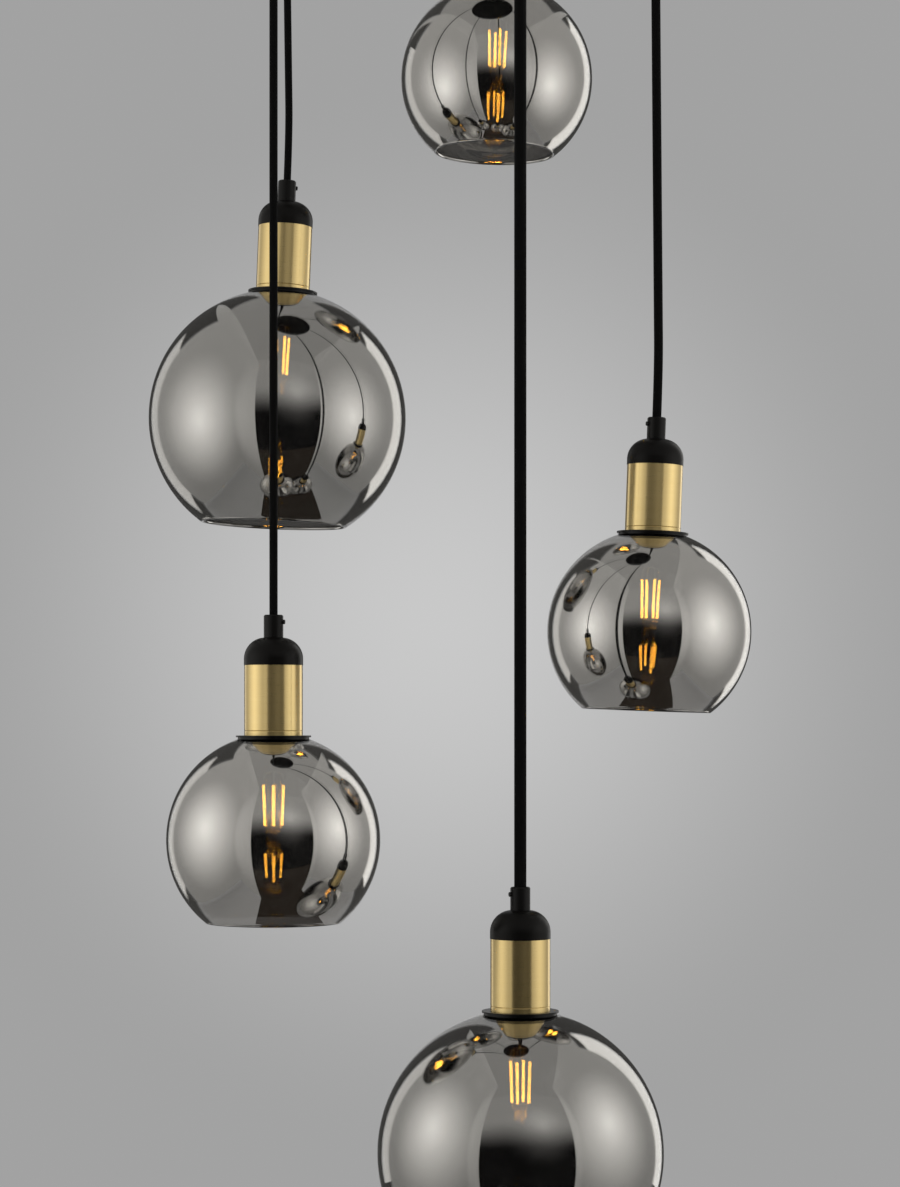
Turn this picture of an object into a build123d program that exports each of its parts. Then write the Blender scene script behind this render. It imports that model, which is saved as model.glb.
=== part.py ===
from build123d import *

import os
from math import asin, atan2, cos, degrees, pi, radians, sin, sqrt, tan

# Cluster pendant: a round ceiling canopy, five cords and five open glass globes at
# five heights. Millimetres. The origin is the middle of the canopy on the ceiling,
# +Z is up, and everything hangs below Z = 0.

# ---- canopy and what it covers ---------------------------------------------------
canopy_radius = 175.0
canopy_height = 30.0
canopy_wall = 1.5
canopy_edge_radius = 6.0
outlet_margin = 23.0  # from the canopy's rim to the ring of cord outlets
outlet_count = 5

bar_width = 30.0  # ceiling bracket, a flat bar with an ear bent down at each end
bar_thickness = 2.5
bar_bend_radius = 2.0
bar_end_clearance = 0.3
ear_drop = 22.0
slot_spacing = 100.0
slot_length = 20.0
slot_width = 5.2
cable_hole_radius = 6.0
cable_hole_offset = 27.0

side_screw_drop = 13.0  # below the ceiling
side_screw_radius = 2.0
side_screw_length = 8.0
side_screw_clearance = 0.2
side_head_radius = 4.2
side_head_height = 2.6
side_head_slot = 0.9

stem_radius = 5.0  # threaded stems of all cord grips
stem_clearance = 0.15
outlet_grip_radius = 8.0
outlet_grip_length = 14.0
outlet_grip_chamfer = 1.2
nut_across_flats = 14.0
nut_height = 3.0
stem_above_nut = 2.0

strip_width = 20.0  # terminal strip under the bar
strip_end = 10.0  # from an outer pole's axis to the strip's end
strip_web = 5.0
strip_offset = -12.0
pole_pitch = 8.0
pole_radius = 3.4
pole_depth = 3.0  # from the web down to a pole's axis
pole_screw_radius = 1.4
pole_screw_depth = 2.2
strip_screw_radius = 1.5
strip_screw_clearance = 0.15
strip_screw_inset = 3.5
strip_head_radius = 2.6
strip_head_height = 1.8
strip_screw_short = 0.4  # the screw's end stays this far under the ceiling

lead_diameter = 2.6
lead_corner_share = 0.8  # of the rise, taken by the arc at its top
lead_turn_radius = 14.0
lead_last_run = 30.0

# ---- lampholder stack, from the cord downwards -------------------------------------
grip_radius = 6.85
grip_length = 15.9
grip_chamfer = 0.8
grip_stem_length = 9.5
mouth_depth = 2.0  # the bell mouths in which both ends of a cord stand
mouth_clearance = 0.3
mouth_flare = 1.0
set_screw_drop = 5.0  # below the grip's top
set_screw_radius = 1.6
set_screw_clearance = 0.05
set_screw_length = 4.4
set_screw_proud = 1.3
set_screw_slot = 0.6

sleeve_radius = 20.5
sleeve_wall = 0.8
sleeve_length = 49.3
groove_height = 3.0
groove_width = 0.7
groove_depth = 0.25

cup_overhang = 0.25  # the cup stands this far over the sleeve
cup_height = 19.4
cup_flat = 0.6  # flat ring between the stem's hole and the shoulder
cup_wall = 1.2

ring_radius = 25.0  # two alike shade rings clamp the glass between them
ring_thickness = 1.4
flange_overhang = 1.3
flange_thickness = 1.2
ring_bore_clearance = 0.2

holder_clearance = 0.3  # inside the sleeve
holder_skirt = 1.5  # below the lower ring
holder_rise = 1.6  # above the sleeve
holder_boss_radius = 8.0
holder_boss_drop = 10.8  # from the cup's top to the foot of the boss
holder_boss_gap = 1.0  # between the boss and the cup's roof
socket_clearance = 0.3
contact_gap = 0.3

# ---- bulb ----------------------------------------------------------------------------
cap_radius = 13.2
cap_length = 19.0
cap_inset = 1.0  # from the holder's lower edge up to the cap
cap_cone_height = 3.0
cap_cone_radius = 9.0
contact_radius = 4.8
contact_rise = 2.3
bulb_neck_radius = 12.6
bulb_radius = 17.5
bulb_wall = 1.0
bulb_length = 74.0
bulb_belly_drop = 31.0
bulb_tip_radius = 5.0
filament_circle = 7.0  # at the filaments' heads
filament_foot_circle = 6.0
filament_count = 4
filament_radius = 1.0
filament_length = 31.0
filament_drop = 33.5  # from the sleeve's lower edge
stem_glass_radius = 2.6
stem_glass_length = 16.0
wire_radius = 0.45
wire_bite = 0.6  # how far a wire runs into what it joins
hub_radius = 0.9  # where the lower wires meet

# ---- globes --------------------------------------------------------------------------
glass_wall = 2.8
seat_margin = 0.5  # flat ground glass outside the ring
neck_extra = 0.2  # the glass round the neck's hole is thicker by this
neck_clearance = 0.9  # between the holder and the neck's hole
small_globe = 75.0
small_mouth = 46.5
large_globe = 98.0
large_mouth = 54.5

# ---- the five lamps --------------------------------------------------------------------
# Numbered from the highest lamp to the lowest. A drop is from the canopy's face to the
# globe's centre, and a place counts round the ring of outlets from +X. Screw and bulb
# are the angles at which the set screw looks out and the screwed-in bulb came to rest.
drop_1 = 550.0
drop_2 = 823.0
drop_3 = 988.0
drop_4 = 1137.0
drop_5 = 1349.0
cord_diameter_1 = 5.8
cord_diameter_2 = 5.6
cord_diameter_3 = 6.7
cord_diameter_4 = 5.8
cord_diameter_5 = 8.4
tilt_1 = 1.6  # degrees out of plumb, the lamp's top leaning towards lean_direction
tilt_2 = 2.3
tilt_3 = 2.1
lean_direction = -2.0
small_balance = 38.0  # this point above the globe's centre hangs under the outlet
large_balance = 34.0
plumb_run = 30.0  # a leaning lamp's cord leaves its outlet plumb for this far
bend_run = 40.0  # and ends with this much in line with the lamp
bend_share = 0.45  # of a bend's shorter run

small_glass = dict(globe=small_globe, mouth=small_mouth, balance=small_balance)
large_glass = dict(globe=large_globe, mouth=large_mouth, balance=large_balance)
lamp_specs = (
    dict(place=1, drop=drop_1, cord=cord_diameter_1, tilt=tilt_1, screw=200, bulb=15, **small_glass),
    dict(place=2, drop=drop_2, cord=cord_diameter_2, tilt=tilt_2, screw=20, bulb=30, **large_glass),
    dict(place=0, drop=drop_3, cord=cord_diameter_3, tilt=tilt_3, screw=200, bulb=20, **small_glass),
    dict(place=3, drop=drop_4, cord=cord_diameter_4, tilt=0, screw=-10, bulb=5, **small_glass),
    dict(place=4, drop=drop_5, cord=cord_diameter_5, tilt=0, screw=200, bulb=-20, **large_glass),
)

# ---- worked-out sizes ------------------------------------------------------------------
outlet_circle = canopy_radius - outlet_margin
canopy_floor = -canopy_height + canopy_wall  # inside the canopy
canopy_bore = canopy_radius - canopy_wall
ear_face = sqrt(canopy_bore**2 - (bar_width / 2) ** 2) - bar_end_clearance
grip_mouth = -canopy_height - outlet_grip_length + mouth_depth  # where a cord starts
stem_top = canopy_floor + nut_height + stem_above_nut
strip_length = (outlet_count - 1) * pole_pitch + 2 * strip_end
strip_under = -bar_thickness - strip_web
pole_axis = strip_under - pole_depth
cup_radius = sleeve_radius + cup_overhang
cup_shoulder = stem_radius + stem_clearance + cup_flat  # where the roof starts to round off
cup_shoulder_radius = cup_radius - cup_shoulder
holder_radius = sleeve_radius - sleeve_wall - holder_clearance
ring_bore = holder_radius + ring_bore_clearance
neck_radius = holder_radius + neck_clearance
seat_radius = ring_radius + seat_margin
clamp_height = ring_thickness + flange_thickness
socket_radius = cap_radius + socket_clearance
cap_height = cap_length + cap_cone_height + contact_rise

os.makedirs("parts", exist_ok=True)


def keep(piece, label):
    """Names a finished piece and writes it as a sub-part of its own."""
    piece.label = label
    export_step(piece, f"parts/{label}.step")


class Lamp:
    """Where one lamp hangs: its own frame at the globe's centre, and its levels."""

    def __init__(self, number, place, drop, cord, tilt, screw, bulb, globe, mouth, balance):
        self.number, self.globe, self.mouth = number, globe, mouth
        self.cord_radius, self.screw, self.bulb = cord / 2, screw, bulb
        turn = radians(360 / outlet_count * place)
        self.outlet = Vector(outlet_circle * cos(turn), outlet_circle * sin(turn))
        lean = Vector(cos(radians(lean_direction)), sin(radians(lean_direction)))
        plumb = Vector(0, 0, 1)
        axis = lean * sin(radians(tilt)) + plumb * cos(radians(tilt))
        across = lean * cos(radians(tilt)) - plumb * sin(radians(tilt))
        centre = self.outlet - lean * (balance * sin(radians(tilt)))
        centre -= plumb * (canopy_height + drop)
        self.tilted = tilt > 0
        self.frame = Plane(origin=centre, x_dir=across, z_dir=axis)
        self.section = Plane(origin=centre, x_dir=across, z_dir=-self.frame.y_dir)
        self.axis = Axis(centre, axis)
        # Levels along the lamp's axis, from the globe's centre.
        self.seat = sqrt(globe**2 - seat_radius**2)
        self.neck_floor = self.seat - glass_wall - neck_extra
        self.sleeve_foot = self.seat + clamp_height
        self.sleeve_head = self.sleeve_foot + sleeve_length
        self.cup_top = self.sleeve_head + cup_height
        self.grip_top = self.cup_top + grip_length
        self.cord_foot = self.grip_top - mouth_depth
        self.holder_foot = self.neck_floor - clamp_height - holder_skirt
        self.cap_foot = self.holder_foot + cap_inset

    def level(self, height):
        """The plane square to the lamp's axis at this height above the globe's centre."""
        return self.frame.offset(height)

    def point(self, x, y, z):
        """A point of the lamp's own frame."""
        return self.frame.from_local_coords(Vector(x, y, z))


# ---- pieces under the ceiling ------------------------------------------------------------
def make_canopy():
    """A spun pan, open towards the ceiling, drilled for the cords and side screws."""
    with BuildPart() as canopy:
        Cylinder(canopy_radius, canopy_height, align=(Align.CENTER, Align.CENTER, Align.MAX))
        fillet(canopy.edges().group_by(Axis.Z)[0], canopy_edge_radius)
        offset(amount=-canopy_wall, openings=canopy.faces().sort_by(Axis.Z)[-1])
        with BuildSketch(Plane.XY.offset(-canopy_height)):
            with PolarLocations(outlet_circle, outlet_count):
                Circle(stem_radius + stem_clearance)
        extrude(amount=canopy_wall, mode=Mode.SUBTRACT)
        with BuildSketch(Plane.XZ):
            with Locations((0, -side_screw_drop)):
                Circle(side_screw_radius + side_screw_clearance)
        extrude(amount=canopy_radius, both=True, mode=Mode.SUBTRACT)
    keep(canopy.part, "canopy")


def make_bracket():
    """A bar screwed to the ceiling, whose ears take the canopy's side screws."""
    with BuildPart() as bracket:
        with BuildSketch(Plane.YZ) as profile:
            with BuildLine():
                FilletPolyline(
                    (-ear_face + bar_thickness / 2, -ear_drop),
                    (-ear_face + bar_thickness / 2, -bar_thickness / 2),
                    (ear_face - bar_thickness / 2, -bar_thickness / 2),
                    (ear_face - bar_thickness / 2, -ear_drop),
                    radius=bar_bend_radius + bar_thickness / 2,
                )
                offset(amount=bar_thickness / 2, side=Side.BOTH, closed=True, kind=Kind.INTERSECTION)
            make_face()
        extrude(amount=bar_width / 2, both=True)
        with BuildSketch(Plane.XY):
            with GridLocations(0, slot_spacing, 1, 2):
                SlotOverall(slot_length, slot_width, rotation=90)
            with Locations((0, cable_hole_offset)):
                Circle(cable_hole_radius)
            with Locations((0, strip_offset)):
                with GridLocations(0, strip_length - 2 * strip_screw_inset, 1, 2):
                    Circle(strip_screw_radius + strip_screw_clearance)
        extrude(amount=-bar_thickness, mode=Mode.SUBTRACT)
        with BuildSketch(Plane.XZ):
            with Locations((0, -side_screw_drop)):
                Circle(side_screw_radius + set_screw_clearance)
        extrude(amount=ear_face, both=True, mode=Mode.SUBTRACT)
    keep(bracket.part, "ceiling_bracket")


def make_side_screws():
    """Two slotted screws through the canopy's side into the bracket's ears."""
    with BuildPart() as screws:
        for side in (1, -1):
            seat = Plane(origin=(0, side * canopy_radius, -side_screw_drop), z_dir=(0, side, 0))
            with BuildSketch(seat):
                Circle(side_head_radius)
            extrude(amount=side_head_height)
            with BuildSketch(seat):
                Circle(side_screw_radius)
            extrude(amount=-side_screw_length)
            with BuildSketch(seat.offset(side_head_height)):
                Rectangle(2 * side_head_radius, side_head_slot)
            extrude(amount=-side_head_height / 2, mode=Mode.SUBTRACT)
    keep(screws.part, "canopy_screws")


def make_outlet_grips(lamps):
    """Five cord grips under the canopy, each with a bell mouth for its own cord."""
    with BuildPart() as grips:
        for lamp in lamps:
            centre = (lamp.outlet.X, lamp.outlet.Y, -canopy_height)
            section = Plane(origin=centre, x_dir=(1, 0, 0), z_dir=(0, -1, 0))
            bore = lamp.cord_radius + mouth_clearance
            with BuildSketch(section):
                with BuildLine():
                    Polyline(
                        (0, -outlet_grip_length + mouth_depth),
                        (bore, -outlet_grip_length + mouth_depth),
                        (bore + mouth_flare, -outlet_grip_length),
                        (outlet_grip_radius - outlet_grip_chamfer, -outlet_grip_length),
                        (outlet_grip_radius, -outlet_grip_length + outlet_grip_chamfer),
                        (outlet_grip_radius, 0),
                        (stem_radius, 0),
                        (stem_radius, canopy_height + stem_top),
                        (0, canopy_height + stem_top),
                        close=True,
                    )
                make_face()
            revolve(axis=Axis(centre, (0, 0, 1)))
    keep(grips.part, "canopy_grips")


def make_grip_nuts():
    """The hexagon nuts that hold the grips from inside the canopy."""
    with BuildPart() as nuts:
        with BuildSketch(Plane.XY.offset(canopy_floor)):
            with PolarLocations(outlet_circle, outlet_count):
                RegularPolygon(nut_across_flats / 2, 6, major_radius=False)
                Circle(stem_radius + stem_clearance, mode=Mode.SUBTRACT)
        extrude(amount=nut_height)
    keep(nuts.part, "grip_nuts")


def make_strip():
    """The terminal strip: five barrel poles side by side under one web."""
    with BuildPart() as strip:
        with BuildSketch(Plane.XY.offset(-bar_thickness)):
            with Locations((0, strip_offset)):
                RectangleRounded(strip_width, strip_length, strip_screw_inset)
                with GridLocations(0, strip_length - 2 * strip_screw_inset, 1, 2):
                    Circle(strip_screw_radius + strip_screw_clearance, mode=Mode.SUBTRACT)
        extrude(amount=-strip_web)
        with BuildSketch(Plane.YZ.offset(-strip_width / 2)):
            with Locations((strip_offset, pole_axis)):
                with GridLocations(pole_pitch, 0, outlet_count, 1):
                    Circle(pole_radius)
            with Locations((strip_offset, strip_under)):
                with GridLocations(pole_pitch, 0, outlet_count, 1):
                    Rectangle(2 * pole_radius, pole_depth, align=(Align.CENTER, Align.MAX))
        extrude(amount=strip_width)
        with BuildSketch(Plane.XY.offset(pole_axis - pole_radius)):
            with Locations((0, strip_offset)):
                with GridLocations(strip_width / 2, pole_pitch, 2, outlet_count):
                    Circle(pole_screw_radius)
        extrude(amount=pole_screw_depth, mode=Mode.SUBTRACT)
    keep(strip.part, "terminal_strip")


def make_strip_screws():
    """Two screws through the strip's web into the bar."""
    with BuildPart() as screws:
        with BuildSketch(Plane.XY.offset(strip_under)):
            with Locations((0, strip_offset)):
                with GridLocations(0, strip_length - 2 * strip_screw_inset, 1, 2):
                    Circle(strip_head_radius)
        extrude(amount=-strip_head_height)
        with BuildSketch(Plane.XY.offset(strip_under)):
            with Locations((0, strip_offset)):
                with GridLocations(0, strip_length - 2 * strip_screw_inset, 1, 2):
                    Circle(strip_screw_radius)
        extrude(amount=-strip_screw_short - strip_under)
    keep(screws.part, "strip_screws")


def make_leads(lamps):
    """Each cord's stripped lead, from its grip to its own pole of the strip."""
    with BuildPart() as leads:
        for lamp in lamps:
            side = 1 if lamp.outlet.X > 0 else -1
            mates = [other for other in lamps if other.outlet.X * side > 0]
            order = sorted(mates, key=lambda other: other.outlet.Y).index(lamp)
            pole = strip_offset + pole_pitch * (2 * order - len(mates) + 1)
            start = Vector(lamp.outlet.X, lamp.outlet.Y, stem_top)
            rise = Vector(lamp.outlet.X, lamp.outlet.Y, pole_axis)
            turn = Vector(side * (strip_width / 2 + lead_last_run), pole, pole_axis)
            end = Vector(side * strip_width / 2, pole, pole_axis)
            corner = lead_corner_share * (pole_axis - stem_top)
            with BuildLine():
                route = FilletPolyline(start, rise, turn, end, radius=[corner, lead_turn_radius])
            with BuildSketch(Plane(origin=start, z_dir=(0, 0, 1))):
                Circle(lead_diameter / 2)
            sweep(path=route)
    keep(leads.part, "lamp_leads")


# ---- pieces of one lamp ---------------------------------------------------------------------
def make_cord(lamp):
    """The cord from the canopy's grip to the lamp's, bent a little where a lamp leans."""
    top = Vector(lamp.outlet.X, lamp.outlet.Y, grip_mouth)
    lead_off = top - Vector(0, 0, plumb_run)
    bend = lamp.point(0, 0, lamp.cord_foot + bend_run)
    foot = lamp.point(0, 0, lamp.cord_foot)
    with BuildPart() as cord:
        with BuildLine():
            if lamp.tilted:
                radii = [
                    bend_share * run / tan(radians(before.get_angle(after) / 2))
                    for run, before, after in (
                        (plumb_run, lead_off - top, bend - lead_off),
                        (bend_run, bend - lead_off, foot - bend),
                    )
                ]
                route = FilletPolyline(top, lead_off, bend, foot, radius=radii)
                print(f"cord_{lamp.number}: bend radii {radii[0]:.0f} and {radii[1]:.0f} mm")
            else:
                route = Line(top, foot)
        with BuildSketch(Plane(origin=top, z_dir=route % 0)):
            Circle(lamp.cord_radius)
        sweep(path=route)
    swept = pi * lamp.cord_radius**2 * route.length
    print(f"cord_{lamp.number}: length {route.length:.1f} mm, volume / section x length "
          f"{cord.part.volume / swept:.4f}")
    keep(cord.part, f"cord_{lamp.number}")


def make_cord_grip(lamp):
    """The turned grip on the cup, with its set screw in a radial hole."""
    bore = lamp.cord_radius + mouth_clearance
    height = lamp.grip_top - set_screw_drop
    look = lamp.point(cos(radians(lamp.screw)), sin(radians(lamp.screw)), height)
    middle = lamp.point(0, 0, height)
    side = Plane(origin=middle, x_dir=lamp.frame.z_dir, z_dir=look - middle)
    with BuildPart() as cord_grip:
        with BuildSketch(lamp.section):
            with BuildLine():
                Polyline(
                    (0, lamp.cup_top - grip_stem_length),
                    (stem_radius, lamp.cup_top - grip_stem_length),
                    (stem_radius, lamp.cup_top),
                    (grip_radius, lamp.cup_top),
                    (grip_radius, lamp.grip_top - grip_chamfer),
                    (grip_radius - grip_chamfer, lamp.grip_top),
                    (bore + mouth_flare, lamp.grip_top),
                    (bore, lamp.cord_foot),
                    (0, lamp.cord_foot),
                    close=True,
                )
            make_face()
        revolve(axis=lamp.axis)
        buried = set_screw_length - set_screw_proud
        with BuildSketch(side.offset(grip_radius - buried - set_screw_clearance)):
            Circle(set_screw_radius + set_screw_clearance)
        extrude(amount=set_screw_length, mode=Mode.SUBTRACT)
        with BuildSketch(side.offset(grip_radius - buried)):
            Circle(set_screw_radius)
        extrude(amount=set_screw_length)
        with BuildSketch(side.offset(grip_radius + set_screw_proud)):
            Rectangle(3 * set_screw_radius, set_screw_slot)
        extrude(amount=-set_screw_slot, mode=Mode.SUBTRACT)
    keep(cord_grip.part, f"cord_grip_{lamp.number}")


def make_cup(lamp):
    """The black dome over the sleeve: a quarter-round shoulder on a short skirt."""
    inner = cup_radius - cup_wall
    shoulder_foot = lamp.cup_top - cup_shoulder_radius
    with BuildPart() as cup:
        with BuildSketch(lamp.section):
            with BuildLine():
                Line((stem_radius + stem_clearance, lamp.cup_top), (cup_shoulder, lamp.cup_top))
                CenterArc((cup_shoulder, shoulder_foot), cup_shoulder_radius, 0, 90)
                Polyline((cup_radius, shoulder_foot), (cup_radius, lamp.sleeve_head),
                         (inner, lamp.sleeve_head), (inner, shoulder_foot))
                CenterArc((cup_shoulder, shoulder_foot), cup_shoulder_radius - cup_wall, 0, 90)
                Polyline((cup_shoulder, lamp.cup_top - cup_wall),
                         (stem_radius + stem_clearance, lamp.cup_top - cup_wall),
                         (stem_radius + stem_clearance, lamp.cup_top))
            make_face()
        revolve(axis=lamp.axis)
    keep(cup.part, f"cup_{lamp.number}")


def make_sleeve(lamp):
    """The brass tube with one turned groove above its lower edge."""
    groove = lamp.sleeve_foot + groove_height
    with BuildPart() as sleeve:
        with BuildSketch(lamp.section):
            with BuildLine():
                Polyline(
                    (sleeve_radius - sleeve_wall, lamp.sleeve_foot),
                    (sleeve_radius, lamp.sleeve_foot),
                    (sleeve_radius, groove),
                    (sleeve_radius - groove_depth, groove + groove_width / 2),
                    (sleeve_radius, groove + groove_width),
                    (sleeve_radius, lamp.sleeve_head),
                    (sleeve_radius - sleeve_wall, lamp.sleeve_head),
                    close=True,
                )
            make_face()
        revolve(axis=lamp.axis)
    keep(sleeve.part, f"sleeve_{lamp.number}")


def make_shade_rings(lamp):
    """Two alike rings, one on the glass and one mirrored under it."""
    flange_radius = ring_radius + flange_overhang
    with BuildPart() as rings:
        for seat, way in ((lamp.seat, 1), (lamp.neck_floor, -1)):
            with BuildSketch(lamp.section):
                with BuildLine():
                    Polyline(
                        (ring_bore, seat),
                        (ring_radius, seat),
                        (ring_radius, seat + way * ring_thickness),
                        (flange_radius, seat + way * ring_thickness),
                        (flange_radius, seat + way * clamp_height),
                        (ring_bore, seat + way * clamp_height),
                        close=True,
                    )
                make_face()
            revolve(axis=lamp.axis)
    keep(rings.part, f"shade_rings_{lamp.number}")


def make_holder(lamp):
    """The insulator: a threaded skirt through the neck, a socket, and a boss for the stem."""
    shoulder = lamp.sleeve_head + holder_rise
    boss = lamp.cup_top - holder_boss_drop
    boss_top = lamp.cup_top - cup_wall - holder_boss_gap
    socket_floor = lamp.cap_foot + cap_height + contact_gap
    stem_hole = stem_radius + stem_clearance
    stem_floor = lamp.cup_top - grip_stem_length - holder_clearance
    with BuildPart() as holder:
        with BuildSketch(lamp.section):
            with BuildLine():
                Polyline(
                    (0, socket_floor),
                    (socket_radius, socket_floor),
                    (socket_radius, lamp.holder_foot),
                    (holder_radius, lamp.holder_foot),
                    (holder_radius, shoulder),
                    (holder_boss_radius, boss),
                    (holder_boss_radius, boss_top),
                    (stem_hole, boss_top),
                    (stem_hole, stem_floor),
                    (0, stem_floor),
                    close=True,
                )
            make_face()
        revolve(axis=lamp.axis)
    keep(holder.part, f"lampholder_{lamp.number}")


def make_globe(lamp):
    """Blown glass: a sphere open below, its rim melted round, its neck ground flat."""
    inside = lamp.globe - glass_wall
    turn = asin(lamp.mouth / lamp.globe)
    down = Vector(sin(turn), -cos(turn))
    along_rim = Vector(-cos(turn), -sin(turn))
    rim_tip = down * (lamp.globe - glass_wall / 2) + along_rim * (glass_wall / 2)
    neck_inner = sqrt(inside**2 - lamp.neck_floor**2)
    with BuildPart() as globe:
        with BuildSketch(lamp.section):
            with BuildLine():
                ThreePointArc((seat_radius, lamp.seat), (lamp.globe, 0), down * lamp.globe)
                ThreePointArc(down * lamp.globe, rim_tip, down * inside)
                ThreePointArc(down * inside, (inside, 0), (neck_inner, lamp.neck_floor))
                Polyline((neck_inner, lamp.neck_floor), (neck_radius, lamp.neck_floor),
                         (neck_radius, lamp.seat), (seat_radius, lamp.seat))
            make_face()
        revolve(axis=lamp.axis)
    keep(globe.part, f"globe_{lamp.number}")


def make_bulb_cap(lamp):
    """The bulb's screw cap: shell, glass cone and centre contact, turned in one."""
    foot = lamp.cap_foot
    with BuildPart() as cap:
        with BuildSketch(lamp.section):
            with BuildLine():
                Polyline(
                    (0, foot),
                    (cap_radius, foot),
                    (cap_radius, foot + cap_length),
                    (cap_cone_radius, foot + cap_length + cap_cone_height),
                    (contact_radius, foot + cap_length + cap_cone_height),
                    (contact_radius, foot + cap_height),
                    (0, foot + cap_height),
                    close=True,
                )
            make_face()
        revolve(axis=lamp.axis)
    keep(cap.part, f"bulb_cap_{lamp.number}")


def make_bulb_glass(lamp):
    """The candle-shaped bulb: a long neck arc, a long belly arc and a round tip."""
    belly = lamp.cap_foot - bulb_belly_drop
    tip = lamp.cap_foot - bulb_length + bulb_tip_radius  # centre of the tip's sphere
    fall = belly - tip
    spare = bulb_radius - bulb_tip_radius
    belly_centre = (spare**2 - fall**2) / (2 * spare)  # the arcs meet in one tangent
    belly_arc = bulb_radius - belly_centre
    belly_turn = degrees(atan2(fall, -belly_centre))
    widening = bulb_radius - bulb_neck_radius
    neck_centre = (bulb_radius**2 - bulb_neck_radius**2 - bulb_belly_drop**2) / (2 * widening)
    neck_arc = bulb_radius - neck_centre

    def side(wall):
        """The bulb's outline at this depth in the glass, from the neck down to the tip."""
        turn = degrees(asin(bulb_belly_drop / (neck_arc - wall)))
        neck = CenterArc((neck_centre, belly), neck_arc - wall, 0, turn)
        CenterArc((belly_centre, belly), belly_arc - wall, 0, -belly_turn)
        round_tip = CenterArc((0, tip), bulb_tip_radius - wall, -belly_turn, belly_turn - 90)
        return neck @ 1, round_tip @ 1

    with BuildPart() as bulb:
        with BuildSketch(lamp.section):
            with BuildLine():
                outer_neck, outer_tip = side(0)
                inner_neck, inner_tip = side(bulb_wall)
                Line(outer_neck, inner_neck)
                Line(outer_tip, inner_tip)
            make_face()
        revolve(axis=lamp.axis)
    keep(bulb.part, f"bulb_glass_{lamp.number}")


def make_filaments(lamp):
    """Glass stem, four filaments a little closer at their feet, and the wires between."""
    head = lamp.sleeve_foot - filament_drop
    foot = head - filament_length
    stem_foot = lamp.cap_foot - stem_glass_length
    with BuildPart() as filaments:
        with BuildSketch(lamp.level(lamp.cap_foot)):
            Circle(stem_glass_radius)
        extrude(amount=-stem_glass_length)
        for step in range(filament_count):
            turn = radians(lamp.bulb + 360 / filament_count * step)
            top = lamp.point(filament_circle * cos(turn), filament_circle * sin(turn), head)
            out = Vector(filament_foot_circle * cos(turn), filament_foot_circle * sin(turn))
            bottom = lamp.point(out.X, out.Y, foot)
            spoke_end = lamp.point(out.X, out.Y, foot + wire_radius)
            sunk = top + (bottom - top).normalized() * wire_bite
            for start, end, radius in (
                (top, bottom, filament_radius),
                (lamp.point(0, 0, stem_foot + wire_bite), sunk, wire_radius),
                (lamp.point(0, 0, foot + wire_radius), spoke_end, wire_radius),
            ):
                with BuildLine():
                    run = Line(start, end)
                with BuildSketch(Plane(origin=start, z_dir=run % 0)):
                    Circle(radius)
                sweep(path=run)
        with BuildSketch(lamp.level(foot)):
            Circle(hub_radius)
        extrude(amount=2 * wire_radius)
    keep(filaments.part, f"filaments_{lamp.number}")


lamps = [Lamp(number, **spec) for number, spec in enumerate(lamp_specs, 1)]

make_canopy()
make_bracket()
make_side_screws()
make_outlet_grips(lamps)
make_grip_nuts()
make_strip()
make_strip_screws()
make_leads(lamps)

for lamp in lamps:
    make_cord(lamp)
    make_cord_grip(lamp)
    make_cup(lamp)
    make_sleeve(lamp)
    make_shade_rings(lamp)
    make_holder(lamp)
    make_globe(lamp)
    make_bulb_cap(lamp)
    make_bulb_glass(lamp)
    make_filaments(lamp)
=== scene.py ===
import math

import bpy
from mathutils import Matrix, Vector


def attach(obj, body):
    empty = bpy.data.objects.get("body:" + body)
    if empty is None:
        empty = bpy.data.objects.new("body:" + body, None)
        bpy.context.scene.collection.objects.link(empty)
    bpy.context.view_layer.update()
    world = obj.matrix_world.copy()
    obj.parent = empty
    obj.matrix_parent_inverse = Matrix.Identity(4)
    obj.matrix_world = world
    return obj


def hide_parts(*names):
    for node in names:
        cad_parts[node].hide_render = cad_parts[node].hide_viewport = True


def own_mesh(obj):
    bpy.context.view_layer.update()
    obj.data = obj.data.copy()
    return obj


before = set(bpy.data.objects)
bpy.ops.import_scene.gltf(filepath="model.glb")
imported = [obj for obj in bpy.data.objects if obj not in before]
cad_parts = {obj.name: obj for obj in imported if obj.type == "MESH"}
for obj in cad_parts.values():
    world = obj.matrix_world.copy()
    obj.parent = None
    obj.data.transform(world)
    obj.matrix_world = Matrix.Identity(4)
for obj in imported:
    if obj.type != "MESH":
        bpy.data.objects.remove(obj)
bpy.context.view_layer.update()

# ---- camera ---------------------------------------------------------------------------
# Level with the third globe and 2.1 m from the cluster's middle. The frame is shifted up
# instead of the camera being tipped, so every plumb cord stays upright in the picture.
frame_height = 1187  # in pixels, as the next two
focal_length = 2861
horizon_drop = 126.5  # below the frame's middle
view_distance = 2.100
view_aside = 0.0041
eye_level = -1.083
view_turn = math.radians(2.08)

camera_data = bpy.data.cameras.new("camera")
camera_data.lens = camera_data.sensor_width * focal_length / frame_height
camera_data.shift_y = horizon_drop / frame_height
camera_data.clip_end = 60
camera = bpy.data.objects.new("camera", camera_data)
bpy.context.scene.collection.objects.link(camera)
bpy.context.scene.camera = camera
away = Vector((math.sin(view_turn), math.cos(view_turn), 0))
right = Vector((math.cos(view_turn), -math.sin(view_turn), 0))
camera.location = right * view_aside - away * view_distance + Vector((0, 0, eye_level))
camera.rotation_euler = (math.radians(90), 0, -view_turn)

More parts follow.
